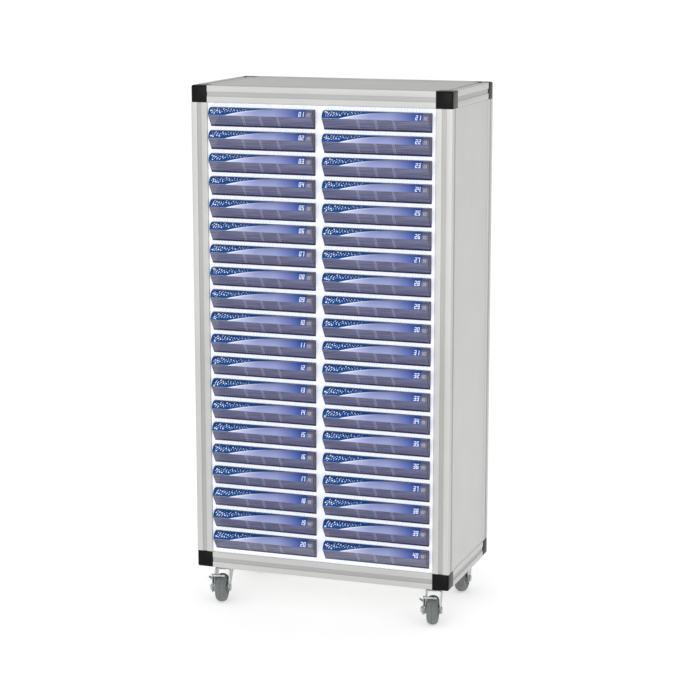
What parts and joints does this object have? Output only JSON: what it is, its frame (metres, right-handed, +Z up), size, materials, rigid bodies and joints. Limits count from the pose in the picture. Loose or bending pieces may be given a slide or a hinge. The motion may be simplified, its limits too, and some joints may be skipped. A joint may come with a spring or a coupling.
{
  "type": "parts organizer",
  "caption": "Wheeled cabinet with two columns of shallow clear drawers on white shelf boards, in a square-profile frame with black corner blocks and swivel casters.",
  "frame": {"origin": "on the floor, under the middle of the whole object's box, which the drawer noses lengthen at the front", "axes": "+Z up, +Y to the back so that the drawers open towards -Y, +X to the right seen from the front"},
  "size_m": [0.581, 0.3262, 1.1469],
  "materials": {
    "anodised_profile": "satin natural anodised",
    "black_plastic": "fine moulded texture",
    "grey_panel": "satin light grey",
    "white_board": "semi-matte white",
    "zinc_steel": "bright zinc plated",
    "grey_tyre": "soft grey tread",
    "smoke_plastic": "clear smoke tint",
    "label_print": "printed blue and lavender card"
  },
  "bodies": {
    "cabinet": {"frame_posts": "anodised_profile", "frame_rails": "anodised_profile", "corner_connectors": "black_plastic", "top_panel": "grey_panel", "base_panel": "grey_panel", "side_panels": "grey_panel", "back_panel": "grey_panel", "drawer_housing": "white_board", "caster_stems": "zinc_steel", "caster_plates": "zinc_steel", "caster_nuts": "zinc_steel", "rear_forks": "zinc_steel"},
    "front_left_fork": {"front_left_fork": "zinc_steel"},
    "front_left_brake_lever": {"front_left_brake_lever": "zinc_steel"},
    "front_left_wheel": {"front_left_wheel": "grey_tyre"},
    "rear_left_wheel": {"rear_left_wheel": "grey_tyre"},
    "front_right_fork": {"front_right_fork": "zinc_steel"},
    "front_right_brake_lever": {"front_right_brake_lever": "zinc_steel"},
    "front_right_wheel": {"front_right_wheel": "grey_tyre"},
    "rear_right_wheel": {"rear_right_wheel": "grey_tyre"},
    "drawer_left_01": {"drawer_left_01": "smoke_plastic"},
    "drawer_left_02": {"drawer_left_02": "smoke_plastic"},
    "drawer_left_03": {"drawer_left_03": "smoke_plastic"},
    "drawer_left_04": {"drawer_left_04": "smoke_plastic"},
    "drawer_left_05": {"drawer_left_05": "smoke_plastic"},
    "drawer_left_06": {"drawer_left_06": "smoke_plastic"},
    "drawer_left_07": {"drawer_left_07": "smoke_plastic"},
    "drawer_left_08": {"drawer_left_08": "smoke_plastic"},
    "drawer_left_09": {"drawer_left_09": "smoke_plastic"},
    "drawer_left_10": {"drawer_left_10": "smoke_plastic"},
    "drawer_left_11": {"drawer_left_11": "smoke_plastic"},
    "drawer_left_12": {"drawer_left_12": "smoke_plastic"},
    "drawer_left_13": {"drawer_left_13": "smoke_plastic"},
    "drawer_left_14": {"drawer_left_14": "smoke_plastic"},
    "drawer_left_15": {"drawer_left_15": "smoke_plastic"},
    "drawer_left_16": {"drawer_left_16": "smoke_plastic"},
    "drawer_left_17": {"drawer_left_17": "smoke_plastic"},
    "drawer_left_18": {"drawer_left_18": "smoke_plastic"},
    "drawer_left_19": {"drawer_left_19": "smoke_plastic"},
    "drawer_left_20": {"drawer_left_20": "smoke_plastic"},
    "drawer_right_01": {"drawer_right_01": "smoke_plastic"},
    "drawer_right_02": {"drawer_right_02": "smoke_plastic"},
    "drawer_right_03": {"drawer_right_03": "smoke_plastic"},
    "drawer_right_04": {"drawer_right_04": "smoke_plastic"},
    "drawer_right_05": {"drawer_right_05": "smoke_plastic"},
    "drawer_right_06": {"drawer_right_06": "smoke_plastic"},
    "drawer_right_07": {"drawer_right_07": "smoke_plastic"},
    "drawer_right_08": {"drawer_right_08": "smoke_plastic"},
    "drawer_right_09": {"drawer_right_09": "smoke_plastic"},
    "drawer_right_10": {"drawer_right_10": "smoke_plastic"},
    "drawer_right_11": {"drawer_right_11": "smoke_plastic"},
    "drawer_right_12": {"drawer_right_12": "smoke_plastic"},
    "drawer_right_13": {"drawer_right_13": "smoke_plastic"},
    "drawer_right_14": {"drawer_right_14": "smoke_plastic"},
    "drawer_right_15": {"drawer_right_15": "smoke_plastic"},
    "drawer_right_16": {"drawer_right_16": "smoke_plastic"},
    "drawer_right_17": {"drawer_right_17": "smoke_plastic"},
    "drawer_right_18": {"drawer_right_18": "smoke_plastic"},
    "drawer_right_19": {"drawer_right_19": "smoke_plastic"},
    "drawer_right_20": {"drawer_right_20": "smoke_plastic"}
  },
  "joints": [
    {"name": "front_left_swivel", "type": "hinge", "parent": "cabinet", "child": "front_left_fork", "pos_m": [-0.2455, -0.10225, 0.082], "axis": [0, 0, 1], "continuous": true},
    {"name": "front_left_wheel_spin", "type": "hinge", "parent": "front_left_fork", "child": "front_left_wheel", "pos_m": [-0.24054, -0.12777, 0.0315], "axis": [0.9816, 0.1908, 0], "continuous": true},
    {"name": "front_left_brake", "type": "hinge", "parent": "front_left_fork", "child": "front_left_brake_lever", "pos_m": [-0.24092, -0.12581, 0.03496], "axis": [0.9816, 0.1908, 0], "range_deg": [0, 12]},
    {"name": "rear_left_wheel_spin", "type": "hinge", "parent": "cabinet", "child": "rear_left_wheel", "pos_m": [-0.2455, 0.11775, 0.0315], "axis": [1, 0, 0], "continuous": true},
    {"name": "front_right_swivel", "type": "hinge", "parent": "cabinet", "child": "front_right_fork", "pos_m": [0.2455, -0.10225, 0.082], "axis": [0, 0, 1], "continuous": true},
    {"name": "front_right_wheel_spin", "type": "hinge", "parent": "front_right_fork", "child": "front_right_wheel", "pos_m": [0.25046, -0.12777, 0.0315], "axis": [0.9816, 0.1908, 0], "continuous": true},
    {"name": "front_right_brake", "type": "hinge", "parent": "front_right_fork", "child": "front_right_brake_lever", "pos_m": [0.25008, -0.12581, 0.03496], "axis": [0.9816, 0.1908, 0], "range_deg": [0, 12]},
    {"name": "rear_right_wheel_spin", "type": "hinge", "parent": "cabinet", "child": "rear_right_wheel", "pos_m": [0.2455, 0.11775, 0.0315], "axis": [1, 0, 0], "continuous": true},
    {"name": "drawer_left_01_slide", "type": "slide", "parent": "cabinet", "child": "drawer_left_01", "axis": [0, -1, 0], "range_m": [0, 0.2]},
    {"name": "drawer_left_02_slide", "type": "slide", "parent": "cabinet", "child": "drawer_left_02", "axis": [0, -1, 0], "range_m": [0, 0.2]},
    {"name": "drawer_left_03_slide", "type": "slide", "parent": "cabinet", "child": "drawer_left_03", "axis": [0, -1, 0], "range_m": [0, 0.2]},
    {"name": "drawer_left_04_slide", "type": "slide", "parent": "cabinet", "child": "drawer_left_04", "axis": [0, -1, 0], "range_m": [0, 0.2]},
    {"name": "drawer_left_05_slide", "type": "slide", "parent": "cabinet", "child": "drawer_left_05", "axis": [0, -1, 0], "range_m": [0, 0.2]},
    {"name": "drawer_left_06_slide", "type": "slide", "parent": "cabinet", "child": "drawer_left_06", "axis": [0, -1, 0], "range_m": [0, 0.2]},
    {"name": "drawer_left_07_slide", "type": "slide", "parent": "cabinet", "child": "drawer_left_07", "axis": [0, -1, 0], "range_m": [0, 0.2]},
    {"name": "drawer_left_08_slide", "type": "slide", "parent": "cabinet", "child": "drawer_left_08", "axis": [0, -1, 0], "range_m": [0, 0.2]},
    {"name": "drawer_left_09_slide", "type": "slide", "parent": "cabinet", "child": "drawer_left_09", "axis": [0, -1, 0], "range_m": [0, 0.2]},
    {"name": "drawer_left_10_slide", "type": "slide", "parent": "cabinet", "child": "drawer_left_10", "axis": [0, -1, 0], "range_m": [0, 0.2]},
    {"name": "drawer_left_11_slide", "type": "slide", "parent": "cabinet", "child": "drawer_left_11", "axis": [0, -1, 0], "range_m": [0, 0.2]},
    {"name": "drawer_left_12_slide", "type": "slide", "parent": "cabinet", "child": "drawer_left_12", "axis": [0, -1, 0], "range_m": [0, 0.2]},
    {"name": "drawer_left_13_slide", "type": "slide", "parent": "cabinet", "child": "drawer_left_13", "axis": [0, -1, 0], "range_m": [0, 0.2]},
    {"name": "drawer_left_14_slide", "type": "slide", "parent": "cabinet", "child": "drawer_left_14", "axis": [0, -1, 0], "range_m": [0, 0.2]},
    {"name": "drawer_left_15_slide", "type": "slide", "parent": "cabinet", "child": "drawer_left_15", "axis": [0, -1, 0], "range_m": [0, 0.2]},
    {"name": "drawer_left_16_slide", "type": "slide", "parent": "cabinet", "child": "drawer_left_16", "axis": [0, -1, 0], "range_m": [0, 0.2]},
    {"name": "drawer_left_17_slide", "type": "slide", "parent": "cabinet", "child": "drawer_left_17", "axis": [0, -1, 0], "range_m": [0, 0.2]},
    {"name": "drawer_left_18_slide", "type": "slide", "parent": "cabinet", "child": "drawer_left_18", "axis": [0, -1, 0], "range_m": [0, 0.2]},
    {"name": "drawer_left_19_slide", "type": "slide", "parent": "cabinet", "child": "drawer_left_19", "axis": [0, -1, 0], "range_m": [0, 0.2]},
    {"name": "drawer_left_20_slide", "type": "slide", "parent": "cabinet", "child": "drawer_left_20", "axis": [0, -1, 0], "range_m": [0, 0.2]},
    {"name": "drawer_right_01_slide", "type": "slide", "parent": "cabinet", "child": "drawer_right_01", "axis": [0, -1, 0], "range_m": [0, 0.2]},
    {"name": "drawer_right_02_slide", "type": "slide", "parent": "cabinet", "child": "drawer_right_02", "axis": [0, -1, 0], "range_m": [0, 0.2]},
    {"name": "drawer_right_03_slide", "type": "slide", "parent": "cabinet", "child": "drawer_right_03", "axis": [0, -1, 0], "range_m": [0, 0.2]},
    {"name": "drawer_right_04_slide", "type": "slide", "parent": "cabinet", "child": "drawer_right_04", "axis": [0, -1, 0], "range_m": [0, 0.2]},
    {"name": "drawer_right_05_slide", "type": "slide", "parent": "cabinet", "child": "drawer_right_05", "axis": [0, -1, 0], "range_m": [0, 0.2]},
    {"name": "drawer_right_06_slide", "type": "slide", "parent": "cabinet", "child": "drawer_right_06", "axis": [0, -1, 0], "range_m": [0, 0.2]},
    {"name": "drawer_right_07_slide", "type": "slide", "parent": "cabinet", "child": "drawer_right_07", "axis": [0, -1, 0], "range_m": [0, 0.2]},
    {"name": "drawer_right_08_slide", "type": "slide", "parent": "cabinet", "child": "drawer_right_08", "axis": [0, -1, 0], "range_m": [0, 0.2]},
    {"name": "drawer_right_09_slide", "type": "slide", "parent": "cabinet", "child": "drawer_right_09", "axis": [0, -1, 0], "range_m": [0, 0.2]},
    {"name": "drawer_right_10_slide", "type": "slide", "parent": "cabinet", "child": "drawer_right_10", "axis": [0, -1, 0], "range_m": [0, 0.2]},
    {"name": "drawer_right_11_slide", "type": "slide", "parent": "cabinet", "child": "drawer_right_11", "axis": [0, -1, 0], "range_m": [0, 0.2]},
    {"name": "drawer_right_12_slide", "type": "slide", "parent": "cabinet", "child": "drawer_right_12", "axis": [0, -1, 0], "range_m": [0, 0.2]},
    {"name": "drawer_right_13_slide", "type": "slide", "parent": "cabinet", "child": "drawer_right_13", "axis": [0, -1, 0], "range_m": [0, 0.2]},
    {"name": "drawer_right_14_slide", "type": "slide", "parent": "cabinet", "child": "drawer_right_14", "axis": [0, -1, 0], "range_m": [0, 0.2]},
    {"name": "drawer_right_15_slide", "type": "slide", "parent": "cabinet", "child": "drawer_right_15", "axis": [0, -1, 0], "range_m": [0, 0.2]},
    {"name": "drawer_right_16_slide", "type": "slide", "parent": "cabinet", "child": "drawer_right_16", "axis": [0, -1, 0], "range_m": [0, 0.2]},
    {"name": "drawer_right_17_slide", "type": "slide", "parent": "cabinet", "child": "drawer_right_17", "axis": [0, -1, 0], "range_m": [0, 0.2]},
    {"name": "drawer_right_18_slide", "type": "slide", "parent": "cabinet", "child": "drawer_right_18", "axis": [0, -1, 0], "range_m": [0, 0.2]},
    {"name": "drawer_right_19_slide", "type": "slide", "parent": "cabinet", "child": "drawer_right_19", "axis": [0, -1, 0], "range_m": [0, 0.2]},
    {"name": "drawer_right_20_slide", "type": "slide", "parent": "cabinet", "child": "drawer_right_20", "axis": [0, -1, 0], "range_m": [0, 0.2]}
  ]
}
